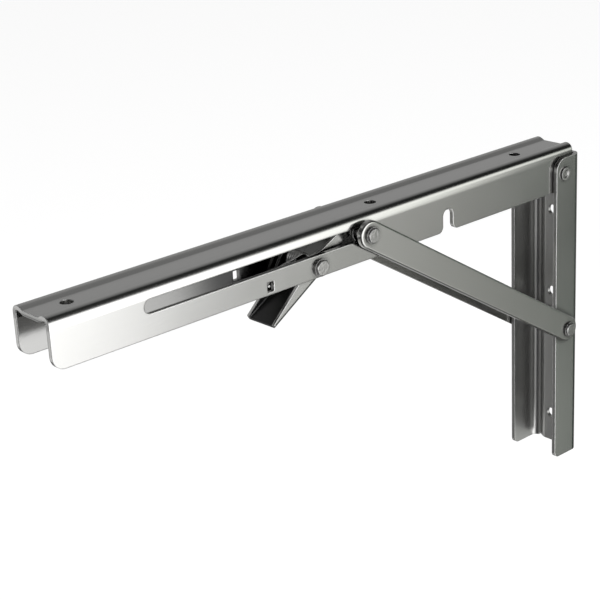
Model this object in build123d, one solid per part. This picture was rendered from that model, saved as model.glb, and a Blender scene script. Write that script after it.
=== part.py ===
"""Folding shelf bracket of bent and stamped stainless sheet, open and locked.

Frame: origin at the middle wall screw hole, on its axis at the back of the pressed web, +X out
from the wall along the open arm, +Y towards the near side, +Z up. Millimetres.
"""
import math
import os

from build123d import *

# Sheet thicknesses
channel_sheet = 2.0
strut_sheet = 2.5
lever_sheet = 1.5

# Running clearances
side_play = 0.3
strut_play = 0.4
hole_play = 0.1
slot_play = 0.2
open_joint_gap = 0.15
heel_gap = 0.35
heel_trim = 0.55

# Arm channel
arm_length = 304.8
arm_width = 24.0
arm_height = 21.8
arm_recess = 1.3
arm_recess_slope = 26.0
arm_press_radius = 1.8
arm_ridge_land = 0.4
arm_bend = 1.2
arm_nose_radius = 5.6
arm_rise = 5.0
shelf_hole_diameter = 5.5
shelf_hole_first = 28.6
shelf_hole_second = 126.1
shelf_hole_nose_inset = 16.5

# Wall channel
wall_height = 158.0
wall_depth = 18.5
wall_recess = 2.2
wall_recess_slope = 28.8
wall_press_radius = 1.6
wall_ridge_land = 1.0
wall_bend = 2.5
wall_web_setback = 1.0
wall_top_radius = 6.5
wall_foot_radius = 3.0
wall_hole_diameter = 5.2
wall_hole_first = 31.0
wall_hole_second = 74.0
wall_hole_foot_inset = 16.5

# Arm pivot
pivot_drop = 13.0
pivot_radius = 2.6
pivot_head_radius = 3.6
pivot_head_height = 0.9
pivot_dimple_depth = 0.55
pivot_dimple_rim = 1.95
pivot_dimple_floor = 1.3

# Strut and its foot pin
foot_drop = 80.1
foot_setback = 0.6
foot_pin_radius = 2.0
strut_width = 12.6
strut_rim_radius = 1.0
rivet_head_radius = 3.75
rivet_head_height = 1.9
head_step = 0.45
head_bevel = 0.35
notch_width = 6.6
notch_shift = 0.4
notch_gap = 0.3
notch_flare = 3.0

# Slide pin in the arm's slot
slide_reach = 134.0
slot_drop = 8.85
slide_pin_radius = 2.9
slide_neck_radius = 2.4
slide_head_radius = 4.2
slide_head_height = 0.7
slide_washer_radius = 4.4
slide_washer_thickness = 1.2
slide_washer_step = 0.4
washer_edge = 0.15
rivet_recess = 0.05
slot_spare = 11.0

# Latch lever and its pivot
latch_drop = 17.5
latch_pin_radius = 2.4
latch_head_radius = 3.9
latch_head_height = 2.3
lever_width = 17.6
lever_slope = 31.5
lever_depth = 6.4
lever_length = 31.6
lever_tip_height = 2.35
lever_tip_radius = 0.6
lever_crown = 5.4
lever_crown_reach = 0.8
lever_crown_radius = 2.2
lever_brow = 0.1
lever_brow_reach = 11.3
lever_brow_radius = 6.0
lever_nape = 2.75
lever_nape_reach = 6.6
lever_back = 1.95
lever_back_reach = 16.3
lever_heel_reach = 2.5
lever_waist = 3.6
lever_waist_reach = 8.5
lever_web_start = 2.0
lever_bend = 0.7
hook_gap = 0.3
hook_length = 22.95
hook_height = 3.6
hook_rise = 12.8
latch_spacer_radius = 4.0
latch_spacer_play = 0.05

# Latch spring
spring_wire = 1.0
spring_turns = 5
spring_pitch = 1.25
spring_start_y = 1.0
spring_radius = 3.6
spring_leg = 15.0
spring_hook_radius = 1.2
anchor_reach = 28.1
anchor_width = 3.6
anchor_height = 4.4
anchor_corner = 0.45
anchor_rise = -0.9

# Heights and sides that follow from the sizes above
wall_back = -wall_recess
wall_front = wall_back + wall_depth
wall_top = wall_hole_second
wall_foot = wall_top - wall_height
arm_top = wall_top + arm_rise
arm_bottom = arm_top - arm_height
arm_side = arm_width / 2
arm_inside = arm_side - channel_sheet
wall_inside = arm_side + side_play
wall_side = wall_inside + channel_sheet
strut_inside = wall_side + strut_play
strut_outside = strut_inside + strut_sheet
lever_side = lever_width / 2
lever_inside = lever_side - lever_sheet

# The arm's heel turns clear of the wall channel's rounded corner
heel_radius = arm_height - pivot_drop
bend_reach = wall_bend - side_play
corner_x = wall_back + channel_sheet + wall_bend - math.sqrt(wall_bend**2 - bend_reach**2)
pivot_x = corner_x + heel_gap + heel_radius
pivot_z = arm_top - pivot_drop
arm_rear = pivot_x - heel_radius + heel_trim
arm_front = arm_rear + arm_length

# Strut ends, slot ends and notch, open and folded
foot_x = pivot_x - foot_setback
foot_z = pivot_z - foot_drop
slide_x = pivot_x + slide_reach
slot_z = arm_top - slot_drop
strut_length = math.hypot(slide_x - foot_x, slot_z - foot_z)
strut_angle = math.degrees(math.atan2(slot_z - foot_z, slide_x - foot_x))
slot_offset = pivot_drop - slot_drop
folded_drop = math.sqrt(strut_length**2 - (foot_setback + slot_offset) ** 2)
slide_travel = foot_drop + folded_drop - slide_reach
slot_radius = slide_pin_radius + slot_play
slot_end_x = slide_x + slide_travel + slot_spare
notch_x = pivot_x + foot_drop + notch_shift
notch_top = pivot_z - foot_setback + foot_pin_radius + notch_gap

# Latch pivot
latch_x = slide_x + slide_pin_radius + hook_gap + hook_length
latch_z = arm_top - latch_drop


# Shared shapes
def channel_section(depth, half_width, sheet, bend, recess, slope, press_radius, land):
    """Section of a channel with a recessed web: local x across, local y from 0 down to -depth."""
    side = half_width - sheet / 2
    top = -sheet / 2
    corner = bend + sheet / 2
    lean = math.radians(slope)
    ridge = side - corner - land - press_radius * math.tan(lean / 2)
    floor = ridge - recess / math.tan(lean)
    half = [(side, -depth), (side, top), (ridge, top), (floor, top - recess)]
    points = half + [(-reach, height) for reach, height in reversed(half)]
    presses = [press_radius] * 4
    line = FilletPolyline(*points, radius=[corner, *presses, corner])
    return trace(line, line_width=sheet)


def across(sketch, half_width):
    """Solid of a side outline (drawn in x and z) carried over both sides."""
    return extrude(Plane.XZ * sketch, half_width, both=True)


def at(x, z, sketch):
    """A flat sketch moved to x and z."""
    return Pos(x, z) * sketch


def between(left, right, low, high):
    """Rectangle between two x and two z values."""
    return at((left + right) / 2, (low + high) / 2, Rectangle(right - left, high - low))


def turned(outline, x, z, side=1):
    """Turned piece on an axis along Y: outline gives radius and distance from the middle."""
    plane = Plane(origin=(x, 0, z), x_dir=(1, 0, 0), z_dir=(0, 0, 1))
    points = [(radius, side * reach) for radius, reach in outline]
    face = make_face(Polyline(*points, close=True))
    return revolve(plane * face, Axis((x, 0, z), (0, 1, 0)))


def ring(x, z, side, start, thickness, outer, inner):
    """Flat washer between two distances from the middle."""
    end = start + thickness
    outline = [
        (inner, start),
        (outer - washer_edge, start),
        (outer, start + washer_edge),
        (outer, end - washer_edge),
        (outer - washer_edge, end),
        (inner, end),
    ]
    return turned(outline, x, z, side)


def soften(sketch, x, z, radius):
    """Round the one corner of a sketch that lies at x and z."""
    corner = sketch.vertices().sort_by_distance((x, z, 0))[0]
    return fillet(corner, radius)


# Arm channel
def make_arm_channel():
    section = channel_section(
        arm_height,
        arm_side,
        channel_sheet,
        arm_bend,
        arm_recess,
        arm_recess_slope,
        arm_press_radius,
        arm_ridge_land,
    )
    body = extrude(Plane.YZ.offset(arm_rear) * (Pos(0, arm_top) * section), arm_length)

    # Side outline with the rounded heel and nose
    outline = between(pivot_x, arm_front, arm_bottom, arm_top)
    outline = soften(outline, arm_front, arm_bottom, arm_nose_radius)
    heel = between(arm_rear, pivot_x, arm_bottom, arm_top)
    round_heel = at(pivot_x, pivot_z, Circle(heel_radius))
    above_heel = between(arm_rear, pivot_x, pivot_z, arm_top)
    outline += above_heel + (heel & round_heel)

    # Notch that passes over the foot pin when folded
    notch_left = notch_x - notch_width / 2
    notch_right = notch_x + notch_width / 2
    notch_centre = notch_top - notch_width / 2
    outline -= at(notch_x, notch_centre, Circle(notch_width / 2))
    outline -= between(notch_left, notch_right, arm_bottom, notch_centre)
    outline = soften(outline, notch_left, arm_bottom, notch_flare)
    outline = soften(outline, notch_right, arm_bottom, notch_flare)

    # Slot, spring anchor hole and pivot holes in both flanges
    slot = at(
        (slide_x + slot_end_x) / 2,
        slot_z,
        SlotCenterToCenter(slot_end_x - slide_x, 2 * slot_radius),
    )
    anchor = at(
        latch_x + anchor_reach,
        latch_z + anchor_rise,
        RectangleRounded(anchor_width, anchor_height, anchor_corner),
    )
    pivot = at(pivot_x, pivot_z, Circle(pivot_radius + hole_play))
    latch = at(latch_x, latch_z, Circle(latch_pin_radius + hole_play))
    outline -= slot + anchor + pivot + latch
    arm = body & across(outline, arm_side + 1)

    # Shelf screw holes along the recess
    spots = (
        arm_rear + shelf_hole_first,
        arm_rear + shelf_hole_second,
        arm_front - shelf_hole_nose_inset,
    )
    for x in spots:
        arm -= Pos(x, 0, arm_top) * Cylinder(shelf_hole_diameter / 2, 4 * channel_sheet + 2 * arm_recess)
    return arm


# Wall channel
def make_wall_channel():
    section = channel_section(
        wall_depth,
        wall_side,
        channel_sheet,
        wall_bend,
        wall_recess,
        wall_recess_slope,
        wall_press_radius,
        wall_ridge_land,
    )
    body = extrude(Plane.XY.offset(wall_foot) * (Pos(wall_back, 0) * Rot(0, 0, 90) * section), wall_height)

    # Side outline with rounded front corners and the rivet holes
    outline = between(wall_back, wall_front, wall_foot, wall_top)
    outline = soften(outline, wall_front, wall_top, wall_top_radius)
    outline = soften(outline, wall_front, wall_foot, wall_foot_radius)
    outline -= at(pivot_x, pivot_z, Circle(pivot_radius + hole_play))
    outline -= at(foot_x, foot_z, Circle(foot_pin_radius + hole_play))
    wall = body & across(outline, wall_side + 1)

    # The web stops a little above the flanges at the foot
    gap_width = 2 * (wall_inside - wall_bend)
    gap_depth = channel_sheet + wall_recess
    trim = Box(gap_depth, gap_width, wall_web_setback, align=(Align.MIN, Align.CENTER, Align.MIN))
    wall -= Pos(wall_back, 0, wall_foot) * trim

    # Wall screw holes down the raised middle of the web
    spots = (
        wall_top - wall_hole_first,
        wall_top - wall_hole_second,
        wall_foot + wall_hole_foot_inset,
    )
    for z in spots:
        bore = Cylinder(wall_hole_diameter / 2, 4 * channel_sheet + 2 * wall_recess)
        wall -= Pos(0, 0, z) * Rot(0, 90, 0) * bore
    return wall


# Struts
def make_strut(side):
    middle_x = (foot_x + slide_x) / 2
    middle_z = (foot_z + slot_z) / 2
    bar = SlotCenterToCenter(strut_length, strut_width)
    bar = at(middle_x, middle_z, Rot(0, 0, strut_angle) * bar)
    bar -= at(foot_x, foot_z, Circle(foot_pin_radius + hole_play))
    bar -= at(slide_x, slot_z, Circle(slide_neck_radius + hole_play))
    blank = extrude(Plane.XZ * bar, strut_sheet / 2, both=True)
    blank = Pos(0, side * (strut_inside + strut_sheet / 2), 0) * blank

    # Rounded rim of the outward face
    outward = blank.faces().sort_by_distance((middle_x, side * strut_outside, middle_z))[0]
    return fillet(outward.outer_wire().edges(), strut_rim_radius)


# Rivets, pins and washers
def make_pivot_rivet(side):
    head_start = arm_inside - hole_play - pivot_head_height
    head_end = wall_side + pivot_head_height
    soft = pivot_head_height / 2
    dimple_end = head_end - pivot_dimple_depth
    outline = [
        (0, head_start),
        (pivot_head_radius - soft, head_start),
        (pivot_head_radius, head_start + soft),
        (pivot_head_radius, arm_inside - hole_play),
        (pivot_radius, arm_inside - hole_play),
        (pivot_radius, wall_side),
        (pivot_head_radius, wall_side),
        (pivot_head_radius - soft, head_end),
        (pivot_dimple_rim, head_end),
        (pivot_dimple_floor, dimple_end),
        (0, dimple_end),
    ]
    return turned(outline, pivot_x, pivot_z, side)


def head_outline(neck, seat, radius, height):
    """Neck, seat, flange and bevelled face of a stepped rivet head."""
    face = radius - head_step
    step = seat + height / 2
    end = seat + height
    return [
        (neck, seat),
        (radius, seat),
        (radius, step),
        (face, step),
        (face, end - head_bevel),
        (face - head_bevel, end),
        (0, end),
    ]


def make_through_pin(x, z, neck, seat, radius, height):
    """Pin that runs through both sides, with a flat head outside each."""
    half = head_outline(neck, seat, radius, height)
    mirrored = [(reach_radius, -reach) for reach_radius, reach in reversed(half)]
    return turned(mirrored + half, x, z)


def make_strut_head_rivet(side):
    start = strut_inside + rivet_recess
    outline = [(0, start), (slide_neck_radius, start)]
    outline += head_outline(slide_neck_radius, strut_outside, rivet_head_radius, rivet_head_height)
    return turned(outline, slide_x, slot_z, side)


def make_slide_stud(side):
    inner = arm_inside - open_joint_gap - slide_head_height
    neck_start = arm_side + hole_play
    outline = [
        (0, inner),
        (slide_head_radius, inner),
        (slide_head_radius, inner + slide_head_height),
        (slide_pin_radius, inner + slide_head_height),
        (slide_pin_radius, neck_start),
        (slide_neck_radius, neck_start),
        (slide_neck_radius, strut_inside - open_joint_gap),
        (0, strut_inside - open_joint_gap),
    ]
    return turned(outline, slide_x, slot_z, side)


def make_slide_washer(side, place):
    start = arm_side + hole_play + place * slide_washer_thickness
    radius = slide_washer_radius - place * slide_washer_step
    thickness = slide_washer_thickness
    return ring(slide_x, slot_z, side, start, thickness, radius, slide_neck_radius)


def make_latch_spacer(side):
    start = lever_side + hole_play
    thickness = arm_inside - start - latch_spacer_play
    return ring(latch_x, latch_z, side, start, thickness, latch_spacer_radius, latch_pin_radius)


# Latch lever, drawn along its own lower edge and then tipped down
def lever_point(x, z):
    """Lever coordinates of a point given from the latch pivot, along the lower edge and above it."""
    slope = math.radians(lever_slope)
    along = x * math.cos(slope) - z * math.sin(slope)
    above = x * math.sin(slope) + z * math.cos(slope)
    return (along, above)


def make_latch_lever():
    hook_top = lever_point(-hook_length, hook_rise)
    hook_low = lever_point(-hook_length, hook_rise - hook_height)
    points = [
        (lever_length, -lever_depth),
        (lever_length, -lever_depth + lever_tip_height),
        (lever_brow_reach, lever_brow),
        (lever_crown_reach, lever_crown),
        (-lever_nape_reach, lever_nape),
        (-lever_back_reach, lever_back),
        hook_top,
        hook_low,
        (-lever_waist_reach, -lever_waist),
        (-lever_heel_reach, -lever_depth),
    ]
    plate = make_face(Polyline(*points, close=True))
    plate = soften(plate, lever_length, -lever_depth, lever_tip_height / 5)
    plate = soften(plate, lever_brow_reach, lever_brow, lever_brow_radius)
    plate = soften(plate, lever_crown_reach, lever_crown, lever_crown_radius)
    plate -= Circle(latch_pin_radius + hole_play)

    # Folded section of the whole lever, cut to the plate's outline
    wall = lever_side - lever_sheet / 2
    floor = lever_sheet / 2 - lever_depth
    rim = lever_depth + hook_rise
    line = FilletPolyline(
        (wall, rim), (wall, floor), (-wall, floor), (-wall, rim), radius=lever_bend + lever_sheet / 2
    )
    section = trace(line, line_width=lever_sheet)
    reach = lever_length + hook_rise
    body = extrude(Plane.YZ * section, reach, both=True) & across(plate, lever_side + 1)

    # No web behind the latch pivot, and rounded corners at the handle's tip
    behind = Box(reach, 2 * lever_inside, 2 * lever_depth, align=(Align.MAX, Align.CENTER, Align.CENTER))
    body -= Pos(-lever_web_start, 0, -lever_depth) * behind
    plan = RectangleRounded(2 * reach, lever_width, lever_tip_radius)
    body &= extrude(Pos(lever_length - reach, 0) * plan, reach, both=True)
    return Pos(latch_x, 0, latch_z) * Rot(0, lever_slope, 0) * body


# Latch spring: a coil round the pivot, one leg hooked in the arm and one on the lever's web
def make_latch_spring():
    reach = math.hypot(anchor_reach, anchor_rise)
    top = math.atan2(anchor_rise, anchor_reach) + math.acos(spring_radius / reach)
    low = math.radians(270 - lever_slope)
    angle = low - top + 2 * math.pi * spring_turns
    height = spring_pitch * angle / (2 * math.pi)
    frame = Plane(
        origin=(latch_x, spring_start_y, latch_z),
        x_dir=(math.cos(top), 0, math.sin(top)),
        z_dir=(0, -1, 0),
    )
    coil = frame * Helix(spring_pitch, height, spring_radius)

    # Both legs leave the coil along its own direction
    arm_leg = math.sqrt(reach**2 - spring_radius**2)
    drift = spring_pitch / (2 * math.pi * spring_radius)
    bend_y = spring_start_y + drift * arm_leg
    bend = Vector(latch_x + anchor_reach, bend_y, latch_z + anchor_rise)
    hook_end = Vector(bend.X, arm_side - channel_sheet / 2, bend.Z)
    hook = FilletPolyline(hook_end, bend, coil @ 0, radius=spring_hook_radius)
    lever_leg = Line(coil @ 1, (coil @ 1) + (coil % 1) * spring_leg)

    path = Wire([*hook.edges(), coil, lever_leg])
    return sweep(Plane(origin=hook_end, z_dir=(0, -1, 0)) * Circle(spring_wire / 2), path=path)


nodes = {
    "arm_channel": make_arm_channel(),
    "wall_channel": make_wall_channel(),
    "strut_near": make_strut(1),
    "strut_far": make_strut(-1),
    "arm_pivot_rivet_near": make_pivot_rivet(1),
    "arm_pivot_rivet_far": make_pivot_rivet(-1),
    "strut_foot_pin": make_through_pin(
        foot_x, foot_z, foot_pin_radius, strut_outside, rivet_head_radius, rivet_head_height
    ),
    "strut_head_rivet_near": make_strut_head_rivet(1),
    "strut_head_rivet_far": make_strut_head_rivet(-1),
    "slide_stud_near": make_slide_stud(1),
    "slide_stud_far": make_slide_stud(-1),
    "slide_washer_inner_near": make_slide_washer(1, 0),
    "slide_washer_outer_near": make_slide_washer(1, 1),
    "slide_washer_inner_far": make_slide_washer(-1, 0),
    "slide_washer_outer_far": make_slide_washer(-1, 1),
    "latch_lever": make_latch_lever(),
    "latch_pivot_pin": make_through_pin(
        latch_x, latch_z, latch_pin_radius, arm_side, latch_head_radius, latch_head_height
    ),
    "latch_spacer_near": make_latch_spacer(1),
    "latch_spacer_far": make_latch_spacer(-1),
    "latch_spring": make_latch_spring(),
}

os.makedirs("parts", exist_ok=True)
for name, solid in nodes.items():
    export_step(solid, f"parts/{name}.step")

print(f"arm pivot {pivot_x:.4f} {pivot_z:.4f}")
print(f"strut foot {foot_x:.4f} {foot_z:.4f}, strut length {strut_length:.4f}")
print(f"slide pin {slide_x:.4f} {slot_z:.4f}, travel {slide_travel:.4f}")
print(f"latch pivot {latch_x:.4f} {latch_z:.4f}")
print(f"arm from {arm_rear:.4f} to {arm_front:.4f}")
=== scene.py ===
"""Looks for the folding shelf bracket: smooth stainless sheet over a plain white studio floor."""
import math

import bpy
from mathutils import Matrix, Vector


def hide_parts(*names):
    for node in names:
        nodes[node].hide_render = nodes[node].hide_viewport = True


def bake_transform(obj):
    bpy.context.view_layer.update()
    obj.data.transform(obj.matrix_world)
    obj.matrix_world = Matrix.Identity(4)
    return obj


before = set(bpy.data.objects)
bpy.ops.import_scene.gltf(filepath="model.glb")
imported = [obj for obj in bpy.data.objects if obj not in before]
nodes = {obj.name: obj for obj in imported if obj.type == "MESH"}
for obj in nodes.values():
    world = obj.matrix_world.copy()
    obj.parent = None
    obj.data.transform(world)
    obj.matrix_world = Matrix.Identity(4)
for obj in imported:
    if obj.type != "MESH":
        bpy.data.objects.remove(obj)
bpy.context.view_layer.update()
scene = bpy.context.scene

# Camera: where it stands round its target, in degrees and metres, how far it sees,
# its sensor in millimetres, and the photo's frame in pixels
camera_azimuth = 41.66
camera_elevation = 20.406
camera_roll = -2.876
camera_distance = 0.7028
camera_target = Vector((0.17077, 0, 0.04635))
camera_reach = 20
sensor_width = 36
image_width = 600
focal_pixels = 1629.89
centre_pixel = (302.21, 294.6)

# Colours
sheet_colour = (0.62, 0.618, 0.605)
strut_colour = (0.56, 0.56, 0.54)
fastener_colour = (0.63, 0.625, 0.61)
wire_colour = (0.86, 0.86, 0.85)
edge_highlight_colour = (0.86, 0.86, 0.86)
crevice_shade_colour = (0.04, 0.04, 0.04)
floor_colour = (0.80, 0.80, 0.80)
white = (1, 1, 1)

# Grain of the steel, and how deep it is at full relief
grain_scale = 60.0
grain_detail = 6.0
grain_roughness = 0.6
grain_depth = 0.0002

# Clouds in which the steel is a little duller
cloud_scale = 38.0
cloud_detail = 3.0

# Edges with a painted highlight, rougher with wear: likeness of the rounded normal to the true one
# where the mark starts and where it is full
wear_and_highlight_start = 0.995
wear_and_highlight_full = 0.80
worn_roughness = 0.45
edge_samples = 6

# Painted shade in crevices: how far a neighbour darkens a surface, and how strongly
crevice_shade_reach = 0.003
crevice_shade_strength = 1.7
spring_crevice_shade_strength = 0.3
crevice_samples = 6

# Lean of the arm's flanges towards the web: the heights that it runs between, its depth,
# and the stretch of the arm, along X, over which it grows from none to full
arm_bend = {"low": 0.073, "high": 0.0777, "depth": 0.00067, "start": 0.0, "full": 0.17}

# Inner faces: how far they can lie from the middle, and below which height
arm_inside = {"half_gap": 0.0102, "height": 0.0765}
lever_inside = {"half_gap": 0.00735, "height": 0.1}
wall_inside = {"half_gap": 0.01235, "height": 0.1}
# Painted shade: the arm's and the lever's inner faces are near black; the wall's are only a little
# darker than its sheet
arm_inside_shade_colour = (0.10, 0.10, 0.10)
lever_inside_shade_colour = (0.12, 0.12, 0.12)
wall_inside_colour = (0.56, 0.56, 0.55)
# A face that looks down more than this is an underside, and no inner face
underside = -0.8
# Stretch over which the painted shade on the arm's inside grows less towards its free end, and the
# share of it that is left
arm_inside_shade_fade = {"start": 0.205, "end": 0.235, "least": 0.45}

# Floor below the folded arm, and how much it is brightened for the camera
floor_height = -0.24
floor_radius = 6.0
floor_lift = 0.28

# Soft lamp in front of the object, which the steel doesn't mirror
lamp_place = Vector((0.9, 1.6, 1.5))
lamp_size = 1.2
lamp_power = 22.0

# World: the even light, and the most light that the mirrored studio has anywhere
ambient_light = 0.80
brightest = 2.2

# A colour ramp only goes up to 1, so each of these tables is divided by its scale.
# Walls: degrees round the upright axis from -X towards +Y, then red, green and blue
wall_scale = 2.0
walls_round = [
    (-180, 0.05, 0.05, 0.055),
    (-160, 0.10, 0.10, 0.10),
    (-138, 0.11, 0.11, 0.11),
    (-129, 0.15, 0.15, 0.15),
    (-120, 0.55, 0.55, 0.55),
    (-114, 0.55, 0.55, 0.55),
    (-102, 0.12, 0.12, 0.12),
    (-82, 0.12, 0.12, 0.12),
    (-66, 0.35, 0.35, 0.35),
    (-25, 0.35, 0.35, 0.35),
    (0, 0.30, 0.30, 0.30),
    (25, 0.06, 0.07, 0.06),
    (37, 0.08, 0.10, 0.085),
    (38.8, 0.12, 0.14, 0.125),
    (40.2, 0.30, 0.305, 0.29),
    (42, 0.43, 0.43, 0.41),
    (46.3, 0.50, 0.51, 0.48),
    (49, 0.52, 0.53, 0.51),
    (52.5, 0.62, 0.62, 0.62),
    (55.5, 1.90, 1.90, 1.90),
    (112, 1.95, 1.95, 1.95),
    (121, 0.48, 0.48, 0.48),
    (141, 0.48, 0.48, 0.48),
    (149, 0.04, 0.04, 0.045),
    (180, 0.05, 0.05, 0.055),
]
# Factor on the walls' light, after its degrees from the near horizon, +Y, over the object
over_scale = 3.0
light_over = [
    (-180, 1.0),
    (-170, 1.7),
    (-140, 1.7),
    (-110, 0.8),
    (-60, 0.25),
    (-46, 0.45),
    (-38, 1.6),
    (-34, 1.6),
    (-30.5, 0.80),
    (-27.5, 0.85),
    (-25.5, 1.0),
    (-22, 1.0),
    (-13, 2.2),
    (-6, 3.0),
    (15, 3.0),
    (29, 0.30),
    (40, 0.05),
    (76, 0.10),
    (95, 0.50),
    (112, 0.74),
    (140, 0.98),
    (155, 1.0),
    (180, 1.0),
]
half_turn = 180
ramp_middle = 0.5


# Camera
def make_camera():
    azimuth = math.radians(camera_azimuth)
    elevation = math.radians(camera_elevation)
    roll = math.radians(camera_roll)
    back = Vector(
        (
            math.sin(azimuth) * math.cos(elevation),
            math.cos(azimuth) * math.cos(elevation),
            math.sin(elevation),
        )
    )
    level = (-back).cross(Vector((0, 0, 1))).normalized()
    upright = level.cross(-back)
    right = level * math.cos(roll) + upright * math.sin(roll)
    up = upright * math.cos(roll) - level * math.sin(roll)
    data = bpy.data.cameras.new("camera")
    data.sensor_width = sensor_width
    data.lens = sensor_width * focal_pixels / image_width
    data.shift_x = (image_width / 2 - centre_pixel[0]) / image_width
    data.shift_y = (centre_pixel[1] - image_width / 2) / image_width
    data.clip_end = camera_reach
    camera = bpy.data.objects.new("camera", data)
    turn = Matrix((right, up, back)).transposed().to_4x4()
    camera.matrix_world = Matrix.Translation(camera_target + back * camera_distance) @ turn
    scene.collection.objects.link(camera)
    scene.camera = camera


# Shader building blocks
def new_material(name):
    material = bpy.data.materials.new(name)
    material.use_nodes = True
    tree = material.node_tree
    return material, tree, tree.nodes["Principled BSDF"]


def add(tree, kind, inputs=None, **settings):
    """New shader node, with its settings and the values of its inputs."""
    node = tree.nodes.new(kind)
    for key, value in settings.items():
        setattr(node, key, value)
    for key, value in (inputs or {}).items():
        node.inputs[key].default_value = value
    return node


def opaque(colour):
    """Colour with full alpha."""
    return (*colour, 1)


def mixed(tree, factor, low, high, kind="MIX"):
    """Mix of two colours, with a socket or a number as its factor."""
    mix = add(tree, "ShaderNodeMix", data_type="RGBA", blend_type=kind)
    for key, value in (("Factor", factor), ("A", low), ("B", high)):
        if isinstance(value, tuple):
            mix.inputs[key].default_value = opaque(value)
        elif isinstance(value, float):
            mix.inputs[key].default_value = value
        else:
            tree.links.new(value, mix.inputs[key])
    return mix.outputs["Result"]


def worked_out(tree, operation, first, second=None):
    """Result of a Math node on one socket, or on a socket and another or a number."""
    result = add(tree, "ShaderNodeMath", operation=operation)
    tree.links.new(first, result.inputs[0])
    if isinstance(second, float):
        result.inputs[1].default_value = second
    elif second is not None:
        tree.links.new(second, result.inputs[1])
    return result.outputs["Value"]


def mapped(tree, value, start, end, low=0.0, high=1.0, kind="LINEAR"):
    """Value that runs from low to high while a socket runs from start to end."""
    limits = {"From Min": start, "From Max": end, "To Min": low, "To Max": high}
    ramp = add(tree, "ShaderNodeMapRange", limits, interpolation_type=kind)
    tree.links.new(value, ramp.inputs["Value"])
    return ramp.outputs["Result"]


def parts_of(tree, vector):
    """X, Y and Z of a vector socket."""
    split = add(tree, "ShaderNodeSeparateXYZ")
    tree.links.new(vector, split.inputs["Vector"])
    return split.outputs


# Steel
def rolled_grain(tree, place, stretch):
    mapping = add(tree, "ShaderNodeMapping", {"Scale": stretch})
    shape = {"Scale": grain_scale, "Detail": grain_detail, "Roughness": grain_roughness}
    noise = add(tree, "ShaderNodeTexNoise", shape)
    tree.links.new(place, mapping.inputs["Vector"])
    tree.links.new(mapping.outputs["Vector"], noise.inputs["Vector"])
    return noise.outputs["Fac"]


def edge_wear_and_highlight(tree, rounded):
    """Mask where the rounded normal leaves the true one: a painted highlight in the colour and
    wear in the roughness.
    """
    surface = add(tree, "ShaderNodeNewGeometry")
    likeness = add(tree, "ShaderNodeVectorMath", operation="DOT_PRODUCT")
    tree.links.new(rounded, likeness.inputs[0])
    tree.links.new(surface.outputs["Normal"], likeness.inputs[1])
    return mapped(tree, likeness.outputs["Value"], wear_and_highlight_start, wear_and_highlight_full)


def openness(tree, strength):
    """Full in the open, and low where pieces lie close together, where painted shade darkens the
    colour.
    """
    crevice = add(
        tree, "ShaderNodeAmbientOcclusion", {"Distance": crevice_shade_reach}, samples=crevice_samples
    )
    return worked_out(tree, "POWER", crevice.outputs["AO"], strength)


def clouded_roughness(tree, place, roughness, clouding, wear_and_highlight):
    """Roughness that varies in soft clouds and is higher where an edge is worn."""
    cloud = add(tree, "ShaderNodeTexNoise", {"Scale": cloud_scale, "Detail": cloud_detail})
    tree.links.new(place, cloud.inputs["Vector"])
    least = roughness * (1 - clouding)
    most = roughness * (1 + clouding)
    rough = mapped(tree, cloud.outputs["Fac"], 0.0, 1.0, least, most)
    worn = worked_out(tree, "MULTIPLY", wear_and_highlight, worn_roughness)
    return worked_out(tree, "MAXIMUM", rough, worn)


def bend_normal(tree, place, rounded, low, high, depth, start, full):
    """Normal of a flange that starts to lean towards the web a little before its bend."""
    where = parts_of(tree, place)
    lean = mapped(tree, where["Z"], low, high, 1.0, 0.0, "SMOOTHSTEP")
    along = mapped(tree, where["X"], start, full)
    soft = add(tree, "ShaderNodeBump", {"Strength": 1.0, "Distance": depth})
    tree.links.new(worked_out(tree, "MULTIPLY", lean, along), soft.inputs["Height"])
    tree.links.new(rounded, soft.inputs["Normal"])
    return soft.outputs["Normal"]


def steel(
    name,
    colour,
    roughness,
    stretch,
    edge_radius,
    relief=0.05,
    clouding=0.2,
    shade=0.92,
    darkening=crevice_shade_strength,
    bend=None,
):
    """Stainless steel with grain, edges with a painted highlight that are rougher with wear, and
    painted shade in crevices.

    stretch is the grain's scale along X, Y and Z, relief is its strength, and shade is the part
    of the colour that is left in its dark streaks. clouding is how much the roughness varies.
    """
    material, tree, shader = new_material(name)
    shader.inputs["Metallic"].default_value = 1.0
    place = add(tree, "ShaderNodeTexCoord").outputs["Object"]
    bevel = add(tree, "ShaderNodeBevel", {"Radius": edge_radius}, samples=edge_samples)
    rounded = bevel.outputs["Normal"]
    grain = rolled_grain(tree, place, stretch)
    wear_and_highlight = edge_wear_and_highlight(tree, rounded)

    streak_colour = tuple(shade * part for part in colour)
    body = mixed(tree, grain, streak_colour, colour)
    # Painted highlight: edges turn pale where the rounded normal leaves the true one
    body = mixed(tree, wear_and_highlight, body, edge_highlight_colour)
    # Painted shade: the colour turns near black where neighbours lie close
    body = mixed(tree, openness(tree, darkening), crevice_shade_colour, body)
    tree.links.new(body, shader.inputs["Base Color"])

    rough = clouded_roughness(tree, place, roughness, clouding, wear_and_highlight)
    tree.links.new(rough, shader.inputs["Roughness"])

    bump = add(tree, "ShaderNodeBump", {"Strength": relief, "Distance": grain_depth})
    tree.links.new(grain, bump.inputs["Height"])
    normal = bend_normal(tree, place, rounded, **bend) if bend else rounded
    tree.links.new(normal, bump.inputs["Normal"])
    tree.links.new(bump.outputs["Normal"], shader.inputs["Normal"])
    return material


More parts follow.
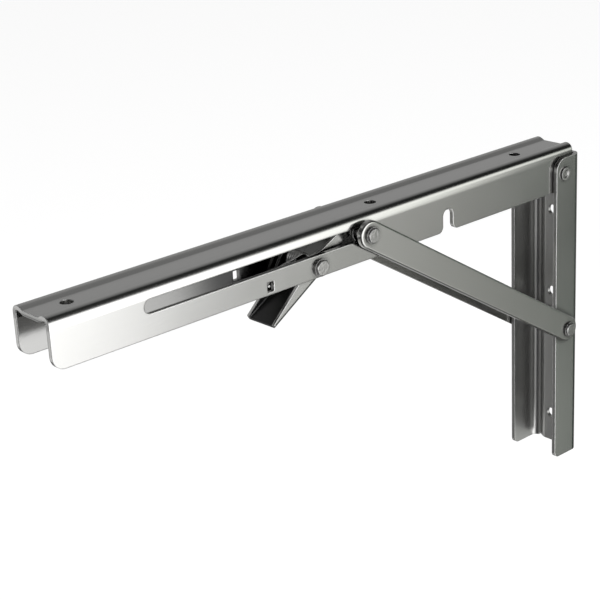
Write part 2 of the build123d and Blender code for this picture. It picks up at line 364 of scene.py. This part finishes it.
def dull_and_shade_inside(material, half_gap, height, colour, roughness, fade=None):
    """Gives the inner faces of a folded sheet their own roughness and a darker colour, painted
    shade where it is near black.
    """
    tree = material.node_tree
    shader = tree.nodes["Principled BSDF"]
    place = add(tree, "ShaderNodeTexCoord").outputs
    where = parts_of(tree, place["Object"])
    facing = parts_of(tree, place["Normal"])
    across = worked_out(tree, "ABSOLUTE", where["Y"])
    share = worked_out(tree, "LESS_THAN", across, half_gap)
    low_enough = worked_out(tree, "LESS_THAN", where["Z"], height)
    share = worked_out(tree, "MULTIPLY", share, low_enough)
    not_under = worked_out(tree, "GREATER_THAN", facing["Z"], underside)
    share = worked_out(tree, "MULTIPLY", share, not_under)
    if fade:
        along = mapped(
            tree, where["X"], fade["start"], fade["end"], 1.0, fade["least"], "SMOOTHSTEP"
        )
        share = worked_out(tree, "MULTIPLY", share, along)

    # Painted shade: the inner faces take the darker colour
    outer_colour = shader.inputs["Base Color"].links[0].from_socket
    tree.links.new(mixed(tree, share, outer_colour, colour), shader.inputs["Base Color"])
    outer_roughness = shader.inputs["Roughness"].links[0].from_socket
    rough = add(tree, "ShaderNodeMix", {"B": roughness}, data_type="FLOAT")
    tree.links.new(share, rough.inputs["Factor"])
    tree.links.new(outer_roughness, rough.inputs["A"])
    tree.links.new(rough.outputs["Result"], shader.inputs["Roughness"])


def arm_steel():
    material = steel(
        "arm_sheet",
        sheet_colour,
        roughness=0.17,
        stretch=(2.0, 60.0, 60.0),
        edge_radius=0.0006,
        bend=arm_bend,
    )
    dull_and_shade_inside(
        material, **arm_inside, colour=arm_inside_shade_colour, roughness=0.17, fade=arm_inside_shade_fade
    )
    return material


def wall_steel():
    material = steel(
        "wall_sheet",
        sheet_colour,
        roughness=0.16,
        stretch=(60.0, 60.0, 2.0),
        edge_radius=0.0005,
    )
    dull_and_shade_inside(material, **wall_inside, colour=wall_inside_colour, roughness=0.34)
    return material


def lever_steel():
    material = steel(
        "lever_sheet_dull_and_shaded",
        sheet_colour,
        roughness=0.20,
        stretch=(12.0, 30.0, 30.0),
        edge_radius=0.0004,
    )
    dull_and_shade_inside(material, **lever_inside, colour=lever_inside_shade_colour, roughness=0.30)
    return material


def strut_steel():
    return steel(
        "strut_sheet",
        strut_colour,
        roughness=0.22,
        stretch=(20.0, 20.0, 20.0),
        edge_radius=0.0003,
        relief=0.015,
        clouding=0.05,
    )


def turned_steel():
    return steel(
        "turned_steel",
        fastener_colour,
        roughness=0.24,
        stretch=(14.0, 14.0, 14.0),
        edge_radius=0.0002,
        relief=0.5,
        shade=0.4,
    )


def wire_steel():
    return steel(
        "wire_steel",
        wire_colour,
        roughness=0.25,
        stretch=(20.0, 20.0, 20.0),
        edge_radius=0.0001,
        darkening=spring_crevice_shade_strength,
    )


def dress_nodes():
    strut = strut_steel()
    finishes = {
        "arm_channel": arm_steel(),
        "wall_channel": wall_steel(),
        "strut_near": strut,
        "strut_far": strut,
        "latch_lever": lever_steel(),
        "latch_spring": wire_steel(),
    }
    fastener = turned_steel()
    for name, part in nodes.items():
        part.data.materials.clear()
        part.data.materials.append(finishes.get(name, fastener))


# Spring: a copy of its mesh takes the place of the hidden spring piece; on the bracket its lower
# leg turns with the lever while its upper leg stays in the arm
def make_spring():
    spring = bpy.data.objects.new("twisting_spring", nodes["latch_spring"].data.copy())
    scene.collection.objects.link(spring)
    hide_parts("latch_spring")
    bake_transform(spring)


# Floor: white to the camera, with the object's soft shadow
def make_floor():
    corners = [(-1, -1), (1, -1), (1, 1), (-1, 1)]
    mesh = bpy.data.meshes.new("floor")
    points = [(x * floor_radius, y * floor_radius, floor_height) for x, y in corners]
    mesh.from_pydata(points, [], [(0, 1, 2, 3)])
    floor = bpy.data.objects.new("floor", mesh)
    scene.collection.objects.link(floor)
    material, tree, shader = new_material("floor")
    tree.nodes.remove(shader)
    output = tree.nodes["Material Output"]
    paint = add(tree, "ShaderNodeBsdfDiffuse", {"Color": opaque(floor_colour)})
    rays = add(tree, "ShaderNodeLightPath")
    lift = worked_out(tree, "MULTIPLY", rays.outputs["Is Camera Ray"], floor_lift)
    glow = add(tree, "ShaderNodeEmission")
    both = add(tree, "ShaderNodeAddShader")
    tree.links.new(lift, glow.inputs["Strength"])
    tree.links.new(paint.outputs["BSDF"], both.inputs[0])
    tree.links.new(glow.outputs["Emission"], both.inputs[1])
    tree.links.new(both.outputs["Shader"], output.inputs["Surface"])
    mesh.materials.append(material)
    floor.visible_glossy = False


# Soft lamp
def make_lamp():
    data = bpy.data.lights.new("soft_lamp", "AREA")
    data.size = lamp_size
    data.energy = lamp_power
    lamp = bpy.data.objects.new("soft_lamp", data)
    turn = (camera_target - lamp_place).to_track_quat("-Z", "Y").to_matrix().to_4x4()
    lamp.matrix_world = Matrix.Translation(lamp_place) @ turn
    lamp.visible_glossy = False
    scene.collection.objects.link(lamp)


# World: white to the camera, an even light on the floor, and studio walls for the steel to mirror
def angle_ramp(tree, over, along, stops):
    """Colour ramp over the angle between two direction parts, from -180 to 180 degrees."""
    angle = worked_out(tree, "ARCTAN2", over, along)
    ramp = add(tree, "ShaderNodeValToRGB")
    tree.links.new(mapped(tree, angle, -math.pi, math.pi), ramp.inputs["Fac"])
    band = ramp.color_ramp
    while len(band.elements) < len(stops):
        band.elements.new(ramp_middle)
    for element, (degrees, *colour) in zip(band.elements, stops):
        element.position = (degrees + half_turn) / (2 * half_turn)
        element.color = opaque(colour)
    return ramp.outputs["Color"]


def glowing(tree, colour, strength):
    """Background light of a colour, given as a socket or as fixed."""
    light = add(tree, "ShaderNodeBackground", {"Strength": strength})
    if isinstance(colour, tuple):
        light.inputs["Color"].default_value = opaque(colour)
    else:
        tree.links.new(colour, light.inputs["Color"])
    return light.outputs["Background"]


def seen_by(tree, rays, seen, otherwise):
    """One shader for the given rays, and another for the rest."""
    choice = add(tree, "ShaderNodeMixShader")
    tree.links.new(rays, choice.inputs["Fac"])
    tree.links.new(otherwise, choice.inputs[1])
    tree.links.new(seen, choice.inputs[2])
    return choice.outputs["Shader"]


def make_world():
    world = bpy.data.worlds.new("studio")
    world.use_nodes = True
    scene.world = world
    tree = world.node_tree
    tree.nodes.clear()
    output = add(tree, "ShaderNodeOutputWorld")
    rays = add(tree, "ShaderNodeLightPath").outputs
    place = add(tree, "ShaderNodeTexCoord")
    towards = parts_of(tree, place.outputs["Generated"])
    away_from_x = worked_out(tree, "MULTIPLY", towards["X"], -1.0)

    wall_stops = [(degrees, *(c / wall_scale for c in colour)) for degrees, *colour in walls_round]
    over_stops = [(degrees, *([factor / over_scale] * 3)) for degrees, factor in light_over]
    walls = angle_ramp(tree, towards["Y"], away_from_x, wall_stops)
    factors = angle_ramp(tree, towards["Z"], towards["Y"], over_stops)
    full_scale = wall_scale * over_scale
    cap = brightest / full_scale
    studio = mixed(tree, 1.0, walls, factors, "MULTIPLY")
    studio = mixed(tree, 1.0, studio, (cap, cap, cap), "DARKEN")

    room = glowing(tree, studio, full_scale)
    even = glowing(tree, white, ambient_light)
    plain = glowing(tree, white, 1.0)
    lit = seen_by(tree, rays["Is Glossy Ray"], room, even)
    tree.links.new(seen_by(tree, rays["Is Camera Ray"], plain, lit), output.inputs["Surface"])


make_camera()
dress_nodes()
make_spring()
make_floor()
make_lamp()
make_world()

scene.view_settings.view_transform = "Standard"
